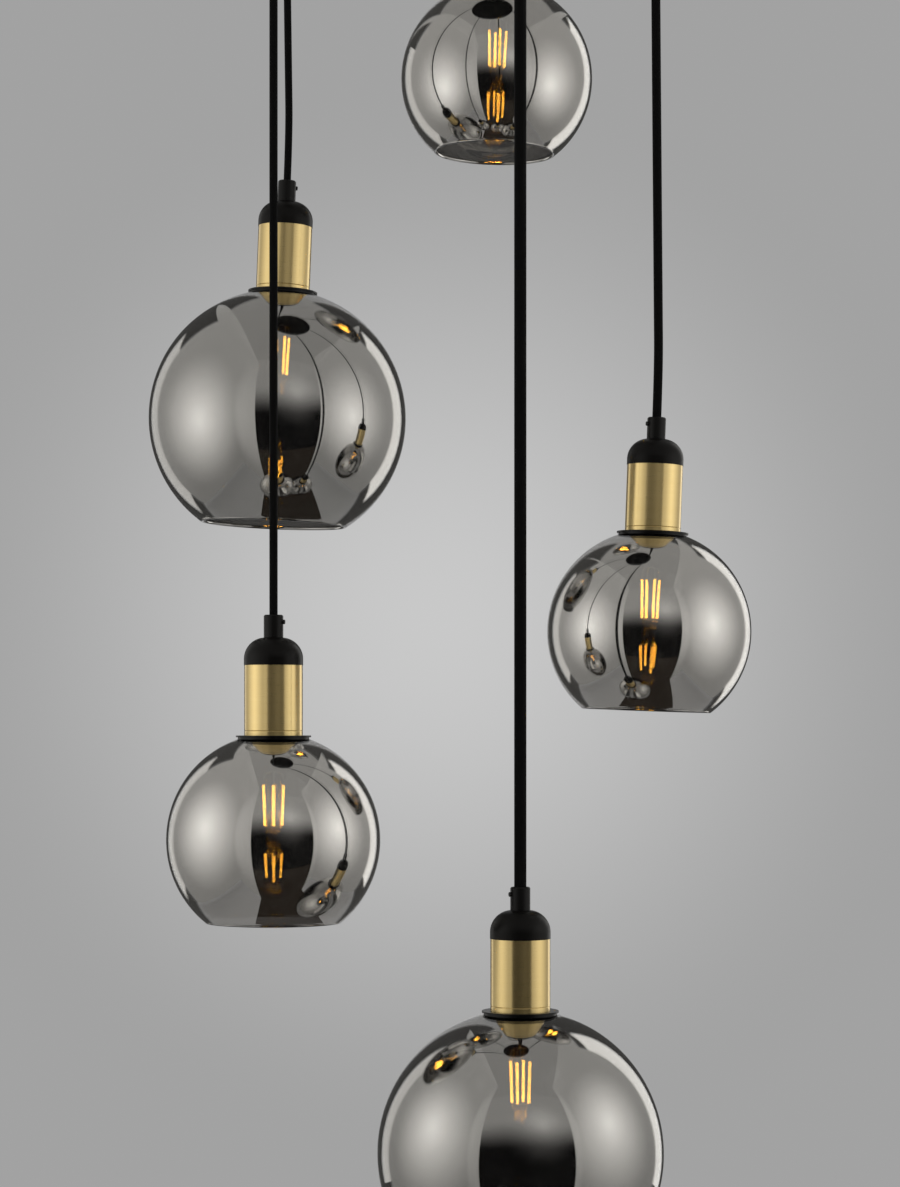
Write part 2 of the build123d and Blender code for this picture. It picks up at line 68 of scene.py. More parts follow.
# ---- cords ----------------------------------------------------------------------------
# Five round cords in a woven black cover, each with its own drop. The ends stand in the
# bell mouths of the grips, and each hangs under its lamp's weight.
outlet_ring = 0.152
outlet_pitch = 72  # degrees
outlet_mouth = -0.042  # where a cord comes out of the canopy's grip
canopy_face = -0.030
steady_run = 0.030  # the straight start of a cord whose lamp leans
ending_run = 0.040
plumb_run = 6  # in cord diameters, at each end of a cord that hangs plumb
lean_way = math.radians(-2.0)
lean = Vector((math.cos(lean_way), math.sin(lean_way), 0))

seat_rim = 0.0255  # the flat on a globe on which the upper ring stands
ring_height = 0.0026
sleeve_length = 0.0493
cup_height = 0.0194
grip_length = 0.0159
mouth_depth = 0.002
small = dict(radius=0.075, mouth=0.0465, balance=0.038)
large = dict(radius=0.098, mouth=0.0545, balance=0.034)

lamps = [
    dict(number=1, place=1, drop=0.550, globe=small, cord=0.0058, tilt=1.6, bulb=15, length=0.3824),
    dict(number=2, place=2, drop=0.823, globe=large, cord=0.0056, tilt=2.3, bulb=30, length=0.6314),
    dict(number=3, place=0, drop=0.988, globe=small, cord=0.0067, tilt=2.1, bulb=20, length=0.8204),
    dict(number=4, place=3, drop=1.137, globe=small, cord=0.0058, tilt=0.0, bulb=5, length=0.9693),
    dict(number=5, place=4, drop=1.349, globe=large, cord=0.0084, tilt=0.0, bulb=-20, length=1.1572),
]
for lamp in lamps:
    turn = math.radians(outlet_pitch * lamp["place"])
    tilt = math.radians(lamp["tilt"])
    axis = lean * math.sin(tilt) + Vector((0, 0, math.cos(tilt)))
    across = lean * math.cos(tilt) - Vector((0, 0, math.sin(tilt)))
    outlet = Vector((math.cos(turn), math.sin(turn), 0)) * outlet_ring
    centre = outlet - lean * lamp["globe"]["balance"] * math.sin(tilt)
    centre.z = canopy_face - lamp["drop"]
    upright = Matrix((across, axis.cross(across), axis)).transposed().to_4x4()
    lamp["outlet"], lamp["axis"], lamp["centre"] = outlet, axis, centre
    lamp["place_matrix"] = Matrix.Translation(centre) @ upright
    lamp["seat"] = math.sqrt(lamp["globe"]["radius"] ** 2 - seat_rim**2)
    lamp["cord_foot"] = (
        lamp["seat"] + ring_height + sleeve_length + cup_height + grip_length - mouth_depth
    )


def only(piece):
    """Makes this the one selected and active object."""
    bpy.ops.object.select_all(action="DESELECT")
    piece.select_set(True)
    bpy.context.view_layer.objects.active = piece


def smooth(piece, degrees):
    """Shades the piece smooth, with edges sharper than this kept."""
    only(piece)
    bpy.ops.object.shade_smooth_by_angle(angle=math.radians(degrees))


def bent_line(name, points, steps):
    """A curve led smoothly by these points, from the first to the last."""
    line = bpy.data.curves.new(name, "CURVE")
    line.dimensions = "3D"
    line.resolution_u = steps
    spline = line.splines.new("NURBS")
    spline.points.add(len(points) - 1)
    for control, point in zip(spline.points, points):
        control.co = (*point, 1)
    spline.order_u = 3
    spline.use_endpoint_u = True
    curve = bpy.data.objects.new(name, line)
    bpy.context.scene.collection.objects.link(curve)
    return curve


def thickened(curve, radius, roundness):
    """The curve made into a round bar with closed ends."""
    curve.data.bevel_depth = radius
    curve.data.bevel_resolution = roundness
    curve.data.use_fill_caps = True
    only(curve)
    bpy.ops.object.convert(target="MESH")
    return bpy.context.object


def feed(tree, value, socket):
    """Links another socket to this one, or sets its value."""
    if isinstance(value, bpy.types.NodeSocket):
        tree.links.new(value, socket)
    else:
        socket.default_value = value


def add(tree, kind, **settings):
    """A node of this kind. in_0 and words with a capital are sockets, the rest properties."""
    node = tree.nodes.new(kind)
    for key, value in settings.items():
        if key.startswith("in_"):
            feed(tree, value, node.inputs[int(key[3:])])
        elif key[0].isupper():
            feed(tree, value, node.inputs[key.replace("_", " ")])
        else:
            setattr(node, key, value)
    return node


def maths(tree, operation, *values, clamp=False):
    """The result of this operation on sockets and numbers."""
    node = add(tree, "ShaderNodeMath", operation=operation, use_clamp=clamp)
    for value, socket in zip(values, node.inputs):
        feed(tree, value, socket)
    return node.outputs[0]


def noise(tree, scale, detail):
    """Noise over the object's own coordinates."""
    where = add(tree, "ShaderNodeTexCoord")
    texture = add(
        tree, "ShaderNodeTexNoise", Vector=where.outputs["Object"], Scale=scale, Detail=detail
    )
    return texture.outputs[0]


def two_tones(tree, share, first, second, socket):
    """Feeds this socket with a mix of two colours."""
    mix = add(tree, "ShaderNodeMix", data_type="RGBA", in_0=share)
    mix.inputs[6].default_value = (*first, 1)
    mix.inputs[7].default_value = (*second, 1)
    tree.links.new(mix.outputs[2], socket)


def bump(tree, shader, height, strength, distance):
    """Feeds a height into the shader's normal."""
    node = add(tree, "ShaderNodeBump", Strength=strength, Distance=distance, Height=height)
    tree.links.new(node.outputs[0], shader.inputs["Normal"])


def new_finish(name, colour, roughness, metallic=0.0, specular=0.5):
    """A new material on the plain shader, with its tree and shader for what follows."""
    finish = bpy.data.materials.new(name)
    finish.use_nodes = True
    shader = finish.node_tree.nodes["Principled BSDF"]
    shader.inputs["Base Color"].default_value = (*colour, 1)
    shader.inputs["Roughness"].default_value = roughness
    shader.inputs["Metallic"].default_value = metallic
    shader.inputs["Specular IOR Level"].default_value = specular
    return finish, finish.node_tree, shader


def new_group(name, inputs, outputs):
    """An empty shader node group with these sockets."""
    group = bpy.data.node_groups.new(name, "ShaderNodeTree")
    for label, kind, value in inputs:
        socket = group.interface.new_socket(label, in_out="INPUT", socket_type=kind)
        if value is not None:
            socket.default_value = value
    for label in outputs:
        group.interface.new_socket(label, in_out="OUTPUT", socket_type="NodeSocketFloat")
    return group, group.nodes.new("NodeGroupInput"), group.nodes.new("NodeGroupOutput")


def place_group(tree, group, **values):
    """The group as a node of this tree, with its own values."""
    node = tree.nodes.new("ShaderNodeGroup")
    node.node_tree = group
    for key, value in values.items():
        feed(tree, value, node.inputs[key])
    return node


# The weave's Shade output is painted shade: each strand is lighter on its crown and darker down in
# the grooves between strands, times a fine random fuzz.
braid, ins, outs = new_group(
    "woven_cover",
    [
        ("Vector", "NodeSocketVector", None),
        ("Around", "NodeSocketFloat", 16),
        ("Along", "NodeSocketFloat", 100),
    ],
    ["Height", "Shade"],
)
split = add(braid, "ShaderNodeSeparateXYZ", Vector=ins.outputs["Vector"])
turns = maths(braid, "MULTIPLY", split.outputs[0], ins.outputs["Around"])
steps = maths(braid, "MULTIPLY", split.outputs[1], ins.outputs["Along"])
tops, cells = [], []
for way in ("ADD", "SUBTRACT"):
    strand = maths(braid, way, turns, steps)
    off = maths(braid, "MULTIPLY_ADD", maths(braid, "FRACT", strand), 2.0, -1.0)
    tops.append(maths(braid, "SUBTRACT", 1.0, maths(braid, "MULTIPLY", off, off)))
    cells.append(maths(braid, "FLOOR", strand))
over = maths(braid, "PINGPONG", maths(braid, "ADD", cells[0], cells[1]), 1.0)
upper = add(braid, "ShaderNodeMix", data_type="FLOAT", in_0=over, in_2=tops[0], in_3=tops[1])
fuzz = add(braid, "ShaderNodeTexNoise", Scale=900.0, Detail=3.0)
braid.links.new(upper.outputs[0], outs.inputs["Height"])
braid.links.new(maths(braid, "MULTIPLY", upper.outputs[0], fuzz.outputs[0]), outs.inputs["Shade"])


def cord_cover(name, length, diameter):
    """The woven cover's finish, its weave sized to this cord."""
    around = 16  # strands
    slope = 0.6
    along = round(length / (math.pi * diameter) * around * slope)
    finish, tree, shader = new_finish(name, (0.002, 0.002, 0.002), 0.85, specular=0.12)
    shader.inputs["Sheen Weight"].default_value = 0.015
    shader.inputs["Sheen Roughness"].default_value = 0.4
    uv = add(tree, "ShaderNodeUVMap", uv_map="UVMap")
    weave = place_group(
        tree, braid, Vector=uv.outputs[0], Around=float(around), Along=float(along)
    )
    # Painted shade in the weave: darker in the grooves between strands, lighter on their crowns,
    # with random fuzz.
    two_tones(
        tree, weave.outputs["Shade"], (0.0008, 0.0008, 0.0009), (0.0035, 0.0034, 0.0033),
        shader.inputs["Base Color"],
    )
    bump(tree, shader, weave.outputs["Height"], 0.6, 0.00025)
    return finish


for lamp in lamps:
    number = lamp["number"]
    name = f"cord_cover_{number}"
    top = lamp["outlet"] + Vector((0, 0, outlet_mouth))
    foot = lamp["centre"] + lamp["axis"] * lamp["cord_foot"]
    if lamp["tilt"]:
        lead_off = top - Vector((0, 0, steady_run))
        bend = foot + lamp["axis"] * ending_run
        down = (bend - lead_off).normalized()
        start_bend, end_bend = lead_off + down * steady_run, bend - down * ending_run
        route = [top, lead_off, start_bend, end_bend, bend, foot]
    else:
        plumb = Vector((0, 0, plumb_run * lamp["cord"]))
        route = [top, top - plumb, foot + plumb, foot]
    cord = bent_line(name, route, 16)
    thread = bpy.data.meshes.new_from_object(cord)
    path = [tuple(v.co) for v in thread.vertices]
    bpy.data.meshes.remove(thread)
    cord = thickened(cord, lamp["cord"] / 2, 6)
    smooth(cord, 40)
    cord.data.materials.clear()
    cord.data.materials.append(cord_cover(name, lamp["length"], lamp["cord"]))
    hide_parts(f"cord_{number}")
    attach(cord, f"cord_{number}")
    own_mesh(cord)

# ---- canopy ---------------------------------------------------------------------------
# A spun steel pan that hides the wiring, powder coated in fine matt black. Two side
# screws hold it to the bracket's ears.


def dress(node, finish):
    """Gives a CAD node its finish."""
    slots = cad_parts[node].data.materials
    slots.clear()
    slots.append(finish)


def dress_lamps(kind, finish):
    """Gives this piece of every lamp the same finish."""
    for lamp in lamps:
        dress(f"{kind}_{lamp['number']}", finish)


grain, ins, outs = new_group(
    "fine_grain", [("Size", "NodeSocketFloat", 1500)], ["Height", "Patches"]
)
grain.links.new(noise(grain, ins.outputs["Size"], 3.0), outs.inputs["Height"])
grain.links.new(noise(grain, 22.0, 4.0), outs.inputs["Patches"])


def grained(name, base, dark, light, roughness, size, strength, specular=0.5):
    """A coat or a moulding with fine grain and two close tones in patches."""
    finish, tree, shader = new_finish(name, base, roughness, specular=specular)
    surface = place_group(tree, grain, Size=size)
    two_tones(tree, surface.outputs["Patches"], dark, light, shader.inputs["Base Color"])
    bump(tree, shader, surface.outputs["Height"], strength, 0.0002)
    return finish, tree, shader, surface


def coated(name, dark, light, roughness, size, strength, specular=0.35):
    """A black coat on metal: fine grain, and a touch of uneven sheen."""
    finish, tree, shader, surface = grained(
        name, dark, dark, light, roughness, size, strength, specular
    )
    sheen = add(
        tree, "ShaderNodeMapRange", Value=surface.outputs["Patches"], From_Min=0.3, From_Max=0.7,
        To_Min=roughness - 0.05, To_Max=roughness + 0.06,
    )
    tree.links.new(sheen.outputs[0], shader.inputs["Roughness"])
    return finish


dress("canopy", coated(
    "canopy_coat", (0.003, 0.003, 0.0033), (0.006, 0.006, 0.006), 0.55, 1400.0, 0.35, 0.12
))

# ---- bracket, nuts and screws ---------------------------------------------------------
# A zinc plated bar with turned-down ears, screwed to the ceiling through its slots. Zinc
# nuts hold the cord grips, and the side screws are blackened.
spangle, ins, outs = new_group("zinc_bloom", [], ["Tone", "Height"])
where = add(spangle, "ShaderNodeTexCoord")
crystals = add(spangle, "ShaderNodeTexVoronoi", Vector=where.outputs["Object"], Scale=260.0)
blend = maths(spangle, "MULTIPLY", crystals.outputs["Distance"], noise(spangle, 40.0, 4.0))
spangle.links.new(blend, outs.inputs["Tone"])
spangle.links.new(crystals.outputs["Distance"], outs.inputs["Height"])


def plated(name, dark, light, roughness):
    """Bright plating, faintly clouded."""
    finish, tree, shader = new_finish(name, light, roughness, metallic=1.0)
    surface = place_group(tree, spangle)
    share = add(
        tree, "ShaderNodeMapRange", Value=surface.outputs["Tone"], From_Min=0.1, From_Max=0.45
    )
    two_tones(tree, share.outputs[0], light, dark, shader.inputs["Base Color"])
    bump(tree, shader, surface.outputs["Height"], 0.08, 0.0002)
    return finish


zinc = plated("zinc_plating", (0.42, 0.43, 0.45), (0.62, 0.63, 0.65), 0.34)
for node in ("ceiling_bracket", "grip_nuts", "strip_screws"):
    dress(node, zinc)
dress("canopy_screws", coated(
    "blackened_screws", (0.015, 0.015, 0.015), (0.03, 0.03, 0.03), 0.4, 2500.0, 0.2
))

# ---- terminal strip and leads ---------------------------------------------------------
# A moulded white strip of five poles under the bar, and the stripped lead of each cord
# running to its own pole in a grey jacket.
dress("terminal_strip", grained(
    "moulded_white", (0.78, 0.77, 0.73), (0.80, 0.79, 0.75), (0.72, 0.71, 0.66), 0.5, 700.0, 0.1
)[0])
dress("lamp_leads", grained(
    "lead_jacket", (0.33, 0.33, 0.34), (0.36, 0.36, 0.37), (0.28, 0.28, 0.29), 0.45, 500.0, 0.12
)[0])

# ---- cord grips -----------------------------------------------------------------------
# Small turned cylinders in satin black, under the canopy and on every lamp. A set screw
# bites on the cord, and a bell mouth keeps its cover from fraying.
grip_coat = coated(
    "grip_coat", (0.003, 0.0027, 0.0024), (0.006, 0.0055, 0.005), 0.34, 2600.0, 0.15, 0.16
)
dress("canopy_grips", grip_coat)
dress_lamps("cord_grip", grip_coat)

# ---- cups -----------------------------------------------------------------------------
# A deep-drawn dome with a quarter-round shoulder covers the top of each brass sleeve. It
# is coated matt black, a little warmer and duller than the grips.
dress_lamps("cup", coated(
    "cup_coat", (0.0022, 0.0018, 0.0014), (0.0045, 0.0038, 0.0032), 0.36, 2200.0, 0.2, 0.14
))

# ---- brass sleeves --------------------------------------------------------------------
# A length of brass tube, satin turned round its axis and lacquered, with one groove above
# its lower edge. It hides the lampholder.
turning, ins, outs = new_group(
    "turning_marks",
    [("Vector", "NodeSocketVector", None), ("Fineness", "NodeSocketFloat", 1800)],
    ["Height", "Tone"],
)
stretch = add(turning, "ShaderNodeVectorMath", operation="MULTIPLY", in_0=ins.outputs["Vector"])
stretch.inputs[1].default_value = (0.02, 0.02, 1.0)
fine_marks = add(
    turning, "ShaderNodeTexNoise", Vector=stretch.outputs[0], Scale=ins.outputs["Fineness"],
    Detail=4.0, Roughness=0.6,
)
broad_marks = add(
    turning, "ShaderNodeTexNoise", Vector=stretch.outputs[0], Scale=160.0, Detail=2.0
)
turning.links.new(fine_marks.outputs[0], outs.inputs["Height"])
turning.links.new(broad_marks.outputs[0], outs.inputs["Tone"])


def satin_brass(name, lamp):
    """Brass with turning marks square to this lamp's own axis."""
    finish, tree, shader = new_finish(name, (0.82, 0.62, 0.27), 0.3, metallic=1.0)
    shader.inputs["Anisotropic"].default_value = 0.85
    shader.inputs["Anisotropic Rotation"].default_value = 0.25
    around = add(tree, "ShaderNodeTangent", direction_type="RADIAL", axis="Z")
    tree.links.new(around.outputs[0], shader.inputs["Tangent"])
    where = add(tree, "ShaderNodeTexCoord")
    centred = add(
        tree, "ShaderNodeMapping", vector_type="TEXTURE", Vector=where.outputs["Object"],
        Location=lamp["centre"], Rotation=lamp["place_matrix"].to_euler(),
    )
    marks = place_group(tree, turning, Vector=centred.outputs[0], Fineness=4200.0)
    two_tones(
        tree, marks.outputs["Tone"], (0.80, 0.60, 0.26), (0.85, 0.66, 0.31),
        shader.inputs["Base Color"],
    )
    dull = add(
        tree, "ShaderNodeMapRange", Value=marks.outputs["Height"], From_Min=0.3, From_Max=0.7,
        To_Min=0.27, To_Max=0.33,
    )
    tree.links.new(dull.outputs[0], shader.inputs["Roughness"])
    bump(tree, shader, marks.outputs["Height"], 0.06, 0.0001)
    return finish


for lamp in lamps:
    dress(f"sleeve_{lamp['number']}", satin_brass(f"satin_brass_{lamp['number']}", lamp))

# ---- shade rings ----------------------------------------------------------------------
# Two alike rings of hard black plastic screw onto the lampholder and clamp the glass
# between them, one above and one under it.
dress_lamps("shade_rings", coated(
    "ring_plastic", (0.003, 0.003, 0.003), (0.006, 0.006, 0.006), 0.32, 1200.0, 0.08, 0.2
))

# ---- lampholders ----------------------------------------------------------------------
# The insulating body in black heat-proof plastic. Its skirt comes down through the glass
# and takes the bulb's cap.
dress_lamps("lampholder", coated(
    "holder_plastic", (0.012, 0.012, 0.012), (0.018, 0.018, 0.018), 0.5, 900.0, 0.12
))

# ---- globes ---------------------------------------------------------------------------
# Blown glass balls, open below with a fire-polished rim, and ground flat round the neck
# hole. Inside is a smoky metal film, so each is half a mirror and half a window.
glass_wall = 0.003
neck_hole = 0.0203
rim_softening = 0.00125


def edit(piece):
    """Opens this piece for editing with all of it selected."""
    only(piece)
    bpy.ops.object.mode_set(mode="EDIT")
    bpy.ops.mesh.select_all(action="SELECT")


def finish_edit():
    """Back from editing to whole objects."""
    bpy.ops.object.mode_set(mode="OBJECT")


def applied(piece, kind, **settings):
    """Adds a modifier with these settings and applies it."""
    only(piece)
    modifier = piece.modifiers.new(kind.lower(), kind)
    for key, value in settings.items():
        setattr(modifier, key, value)
    bpy.ops.object.modifier_apply(modifier=modifier.name)


def blown_globe(name, radius, mouth, film):
    """A ball cut open at its mouth and seat, its seat carried in to the neck's hole."""
    mouth_level = -math.sqrt(radius**2 - mouth**2)
    seat_level = math.sqrt(radius**2 - seat_rim**2)
    inward = neck_hole / seat_rim
    bpy.ops.object.select_all(action="DESELECT")
    bpy.ops.mesh.primitive_uv_sphere_add(segments=128, ring_count=96, radius=radius)
    globe = bpy.context.object
    globe.name = name
    edit(globe)
    bpy.ops.mesh.bisect(plane_co=(0, 0, mouth_level), plane_no=(0, 0, 1), clear_inner=True)
    bpy.ops.mesh.select_all(action="SELECT")
    bpy.ops.mesh.bisect(plane_co=(0, 0, seat_level), plane_no=(0, 0, 1), clear_outer=True)
    bpy.ops.mesh.extrude_edges_move()
    bpy.ops.transform.resize(value=(inward, inward, 1), center_override=(0, 0, seat_level))
    finish_edit()
    globe.data.materials.append(outer_glass)
    globe.data.materials.append(film)
    applied(
        globe, "SOLIDIFY", thickness=glass_wall, offset=-1, use_even_offset=True,
        material_offset=1, material_offset_rim=1,
    )
    applied(
        globe, "BEVEL", limit_method="ANGLE", angle_limit=math.radians(50), width=rim_softening,
        segments=4,
    )
    smooth(globe, 40)
    return globe


def placed_copy(pattern, name, lamp, rise=0.0, turn=0.0):
    """A copy with its own mesh, this far up the axis of this lamp and turned about it."""
    copy = bpy.data.objects.new(name, pattern.data.copy())
    bpy.context.scene.collection.objects.link(copy)
    spot = Matrix.Translation((0, 0, rise)) @ Matrix.Rotation(math.radians(turn), 4, "Z")
    copy.matrix_world = lamp["place_matrix"] @ spot
    only(copy)
    bpy.ops.object.transform_apply(location=True, rotation=True, scale=True)
    return copy


outer_glass, tree, shader = new_finish("globe_glass", (0.93, 0.93, 0.93), 0.0)
shader.inputs["Transmission Weight"].default_value = 1.0
shader.inputs["IOR"].default_value = 1.5
bump(tree, shader, noise(tree, 24.0, 1.0), 0.02, 0.001)


def smoky_film(name, thin, thick):
    """The evaporated film, a little uneven: part mirror, part window."""
    finish, tree, shader = new_finish(name, thin, 0.0, metallic=0.9)
    shader.inputs["Transmission Weight"].default_value = 1.0
    shader.inputs["IOR"].default_value = 1.5
    two_tones(tree, noise(tree, 9.0, 2.0), thick, thin, shader.inputs["Base Color"])
    return finish


small_film = smoky_film("small_globe_film", (0.63, 0.615, 0.59), (0.58, 0.565, 0.54))
large_film = smoky_film("large_globe_film", (0.53, 0.52, 0.50), (0.48, 0.47, 0.45))
small["glass"] = blown_globe("small_globe", small["radius"], small["mouth"], small_film)
large["glass"] = blown_globe("large_globe", large["radius"], large["mouth"], large_film)
for lamp in lamps:
    number = lamp["number"]
    globe = placed_copy(lamp["globe"]["glass"], f"smoked_globe_{number}", lamp)
    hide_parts(f"globe_{number}")
    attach(globe, f"lamp_{number}")
for pattern in (small["glass"], large["glass"]):
    bpy.data.objects.remove(pattern)

# ---- bulb caps ------------------------------------------------------------------------
# The plated screw cap, its glass cone and the solder contact at its end, hidden in the
# lampholder.
dress_lamps("bulb_cap", plated("cap_plating", (0.55, 0.54, 0.50), (0.74, 0.73, 0.69), 0.3))

# ---- bulb glass -----------------------------------------------------------------------
# A clear candle-shaped envelope, drawn in one piece from its neck in the cap to its
# rounded tip, with a wall of one millimetre.
bulb_neck, bulb_belly, bulb_tip = 0.0126, 0.0175, 0.074
belly_drop = 0.031
bulb_wall = 0.001
cap_gap = 0.0015  # from the lower ring to the cap's edge
neck_overlap = 0.001  # of the glass and the cap

bulb_line = bpy.data.curves.new("bulb_line", "CURVE")
bulb_line.dimensions = "3D"
bulb_line.resolution_u = 14
spline = bulb_line.splines.new("BEZIER")
spline.bezier_points.add(2)
for point, before, spot, after in zip(
    spline.bezier_points,
    ((bulb_neck, 0, 0.01), (bulb_belly, 0, -belly_drop + 0.0115), (0.0085, 0, -bulb_tip)),
    ((bulb_neck, 0, 0), (bulb_belly, 0, -belly_drop), (0, 0, -bulb_tip)),
    (
        (bulb_neck + 0.0028, 0, -0.0095),
        (bulb_belly, 0, -belly_drop - 0.0225),
        (-0.005, 0, -bulb_tip),
    ),
):
    point.handle_left_type = point.handle_right_type = "FREE"
    point.co, point.handle_left, point.handle_right = spot, before, after
bulb_pattern = bpy.data.objects.new("bulb_envelope", bulb_line)
bpy.context.scene.collection.objects.link(bulb_pattern)
only(bulb_pattern)
bpy.ops.object.convert(target="MESH")
bulb_pattern = bpy.context.object
edit(bulb_pattern)
bpy.ops.mesh.spin(steps=64, angle=2 * math.pi, center=(0, 0, 0), axis=(0, 0, 1))
bpy.ops.mesh.select_all(action="SELECT")
bpy.ops.mesh.remove_doubles(threshold=0.00002)
bpy.ops.mesh.normals_make_consistent(inside=False)
finish_edit()
applied(bulb_pattern, "SOLIDIFY", thickness=bulb_wall, offset=-1)
smooth(bulb_pattern, 50)

bulb_clear, tree, shader = new_finish("bulb_glass", (0.98, 0.98, 0.97), 0.0)
shader.inputs["Transmission Weight"].default_value = 1.0
shader.inputs["IOR"].default_value = 1.3
bump(tree, shader, noise(tree, 45.0, 1.0), 0.02, 0.0008)
bulb_pattern.data.materials.append(bulb_clear)
for lamp in lamps:
    number = lamp["number"]
    neck_level = lamp["seat"] - glass_wall - ring_height - cap_gap + neck_overlap
    envelope = placed_copy(bulb_pattern, f"bulb_envelope_{number}", lamp, neck_level)
    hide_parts(f"bulb_glass_{number}")
    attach(envelope, f"lamp_{number}")
bpy.data.objects.remove(bulb_pattern)

# ---- filaments ------------------------------------------------------------------------
# Four rods of light-emitting chips under yellow phosphor, a metal tab at each end, welded
# between bent wires on a glass stem. They are lit.
rod_head, rod_foot = -0.0309, -0.0619  # from the globe's seat
head_circle, foot_circle = 0.0070, 0.0060
rod_radius, rod_softening = 0.0010, 0.0004
tab_length, tab_radius, tab_softening = 0.0013, 0.0006, 0.0001
wire_radius = 0.0004
wire_bite = 0.0008  # how far a wire is sunk in the stem's glass
hub_radius, hub_softening = 0.0009, 0.0002
stem_head = -0.0061
stem_radius, stem_length, stem_softening = 0.0026, 0.016, 0.0012


def bar(name, start, end, radius, sides, softening):
    """A round bar from one point to another, its ends bevelled."""
    start, end = Vector(start), Vector(end)
    run = end - start
    bpy.ops.object.select_all(action="DESELECT")
    bpy.ops.mesh.primitive_cylinder_add(
        vertices=sides, radius=radius, depth=run.length, location=(start + end) / 2,
        rotation=run.to_track_quat("Z", "Y").to_euler(),
    )
    piece = bpy.context.object
    piece.name = name
    bpy.ops.object.transform_apply(location=True, rotation=True, scale=True)
    applied(piece, "BEVEL", limit_method="ANGLE", width=softening, segments=3)
    return piece


def joined(name, bars):
    """These bars as one smooth-shaded piece."""
    bpy.ops.object.select_all(action="DESELECT")
    for piece in bars:
        piece.select_set(True)
    bpy.context.view_layer.objects.active = bars[0]
    bpy.ops.object.join()
    piece = bpy.context.object
    piece.name = name
    smooth(piece, 50)
    return piece


rods, wires = [], []
stem_foot = Vector((0, 0, stem_head - stem_length))
hub = Vector((0, 0, rod_foot + wire_radius))
half_hub = Vector((0, 0, wire_radius))
lead_in = Vector((0, 0, wire_bite))
for quarter in range(4):
    out = Vector((math.cos(math.radians(90 * quarter)), math.sin(math.radians(90 * quarter)), 0))
    head = out * head_circle + Vector((0, 0, rod_head))
    foot = out * foot_circle + Vector((0, 0, rod_foot))
    down = (foot - head).normalized()
    tab = down * tab_length
    lit_head, lit_foot = head + tab, foot - tab
    rods.append(bar("rod", lit_head, lit_foot, rod_radius, 20, rod_softening))
    wires.append(bar("upper_tab", head, lit_head + tab, tab_radius, 12, tab_softening))
    wires.append(bar("lower_tab", lit_foot - tab, foot, tab_radius, 12, tab_softening))
    lead = (
        stem_foot + lead_in, stem_foot - lead_in, stem_foot + out * head_circle * 0.85 - lead_in * 2,
        head + lead_in * 3 + out * wire_radius, head + down * wire_radius,
    )
    spoke = (hub, hub + out * foot_circle * 0.6, foot - down * wire_radius)
    wires.append(thickened(bent_line("lead_wire", lead, 5), wire_radius, 2))
    wires.append(thickened(bent_line("lower_wire", spoke, 5), wire_radius, 2))
wires.append(bar("hub", hub - half_hub, hub + half_hub, hub_radius, 16, hub_softening))
rods = joined("rods", rods)
wires = joined("wires", wires)
stem = bar("stem", stem_foot, (0, 0, stem_head), stem_radius, 28, stem_softening)
smooth(stem, 50)

phosphor, tree, shader = new_finish("lit_phosphor", (1.0, 0.62, 0.2), 0.5)
two_tones(
    tree, noise(tree, 900.0, 1.0), (1.0, 0.42, 0.035), (1.0, 0.50, 0.06),
    shader.inputs["Emission Color"],
)
shader.inputs["Emission Strength"].default_value = 26.0
rods.data.materials.append(phosphor)

stem_glass, tree, shader = new_finish("stem_glass", (0.90, 0.92, 0.90), 0.02)
shader.inputs["Transmission Weight"].default_value = 1.0
bump(tree, shader, noise(tree, 700.0, 2.0), 0.1, 0.0002)
stem.data.materials.append(stem_glass)

wire_metal, tree, shader = new_finish("support_wire", (0.55, 0.52, 0.48), 0.35, metallic=1.0)
two_tones(
    tree, noise(tree, 1500.0, 2.0), (0.62, 0.59, 0.54), (0.46, 0.43, 0.39),
    shader.inputs["Base Color"],
)
wires.data.materials.append(wire_metal)

for lamp in lamps:
    number = lamp["number"]
    for pattern, name, slot in (
        (rods, "glowing_rods", "filament_glow"),
        (stem, "glass_stem", "clear_glass"),
        (wires, "support_wires", "cap_metal"),
    ):
        piece = placed_copy(pattern, f"{name}_{number}", lamp, lamp["seat"], lamp["bulb"])
        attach(piece, f"lamp_{number}")
        if pattern is rods:
            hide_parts(f"filaments_{number}")
for pattern in (rods, stem, wires):
    bpy.data.objects.remove(pattern)

# ---- floor and light ------------------------------------------------------------------
# A round pale floor 2.6 m under the ceiling, and light screens round the cluster that the
# camera can't see. Most only show as reflections: a tent on each side, a dark wall and cards.
floor_level = -2.6
bpy.ops.object.select_all(action="DESELECT")
bpy.ops.mesh.primitive_circle_add(
    vertices=96, radius=7.0, fill_type="NGON", location=(0, 0, floor_level)
)
floor = bpy.context.object
floor.name = "floor"
floor_paint, tree, shader = new_finish("floor_paint", (0.45, 0.45, 0.45), 0.9, specular=0.1)
underside = add(tree, "ShaderNodeNewGeometry").outputs["Backfacing"]
see_through = add(tree, "ShaderNodeBsdfTransparent")
one_sided = add(
    tree, "ShaderNodeMixShader", in_0=underside, in_1=shader.outputs[0], in_2=see_through.outputs[0]
)
tree.links.new(one_sided.outputs[0], tree.nodes["Material Output"].inputs[0])
floor.data.materials.append(floor_paint)


def upright_corners(left, right, low, high):
    """The corners of a plumb panel between two spots on the ground."""
    return [(*left, low), (*right, low), (*right, high), (*left, high)]


